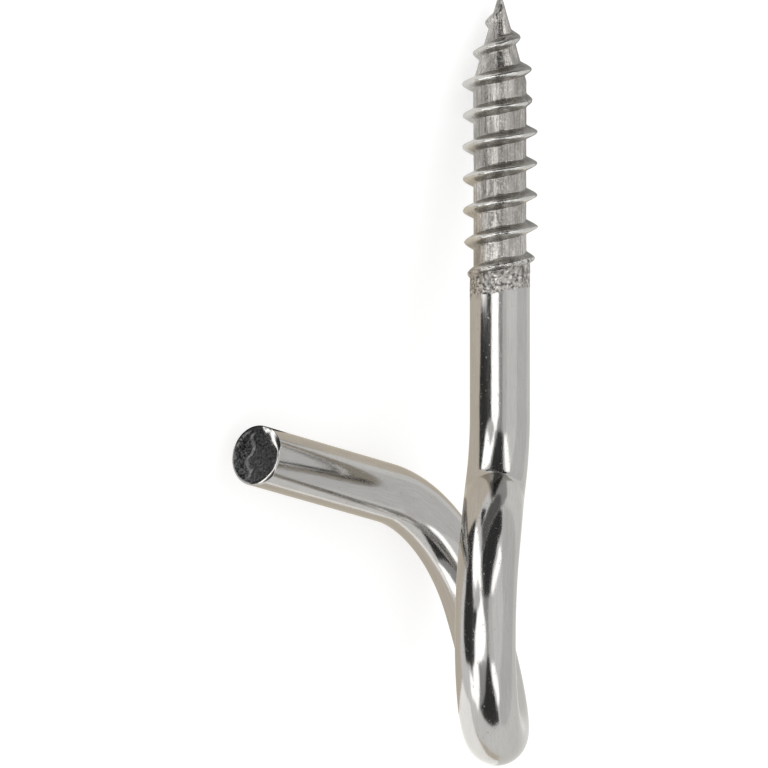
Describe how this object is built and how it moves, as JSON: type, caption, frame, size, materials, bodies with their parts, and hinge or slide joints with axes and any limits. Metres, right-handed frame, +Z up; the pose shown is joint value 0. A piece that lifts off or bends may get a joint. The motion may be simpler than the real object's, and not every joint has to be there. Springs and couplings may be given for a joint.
{
  "type": "screw eye",
  "caption": "Open screw eye of bent wire: a tapered wood-screw thread, a plain shank, and a round eye whose long tail sweeps past the shank.",
  "frame": {"origin": "on the floor under the middle of the part's box, as it lies at rest", "axes": "+Y towards the screw's point, along the length; +X towards the side that the eye leans to; +Z up from the floor"},
  "size_m": [0.049, 0.099, 0.0365],
  "materials": {
    "stainless": "polished drawn stainless wire, duller on the rolled thread"
  },
  "bodies": {
    "root": {"screw_eye": "stainless"}
  },
  "joints": []
}
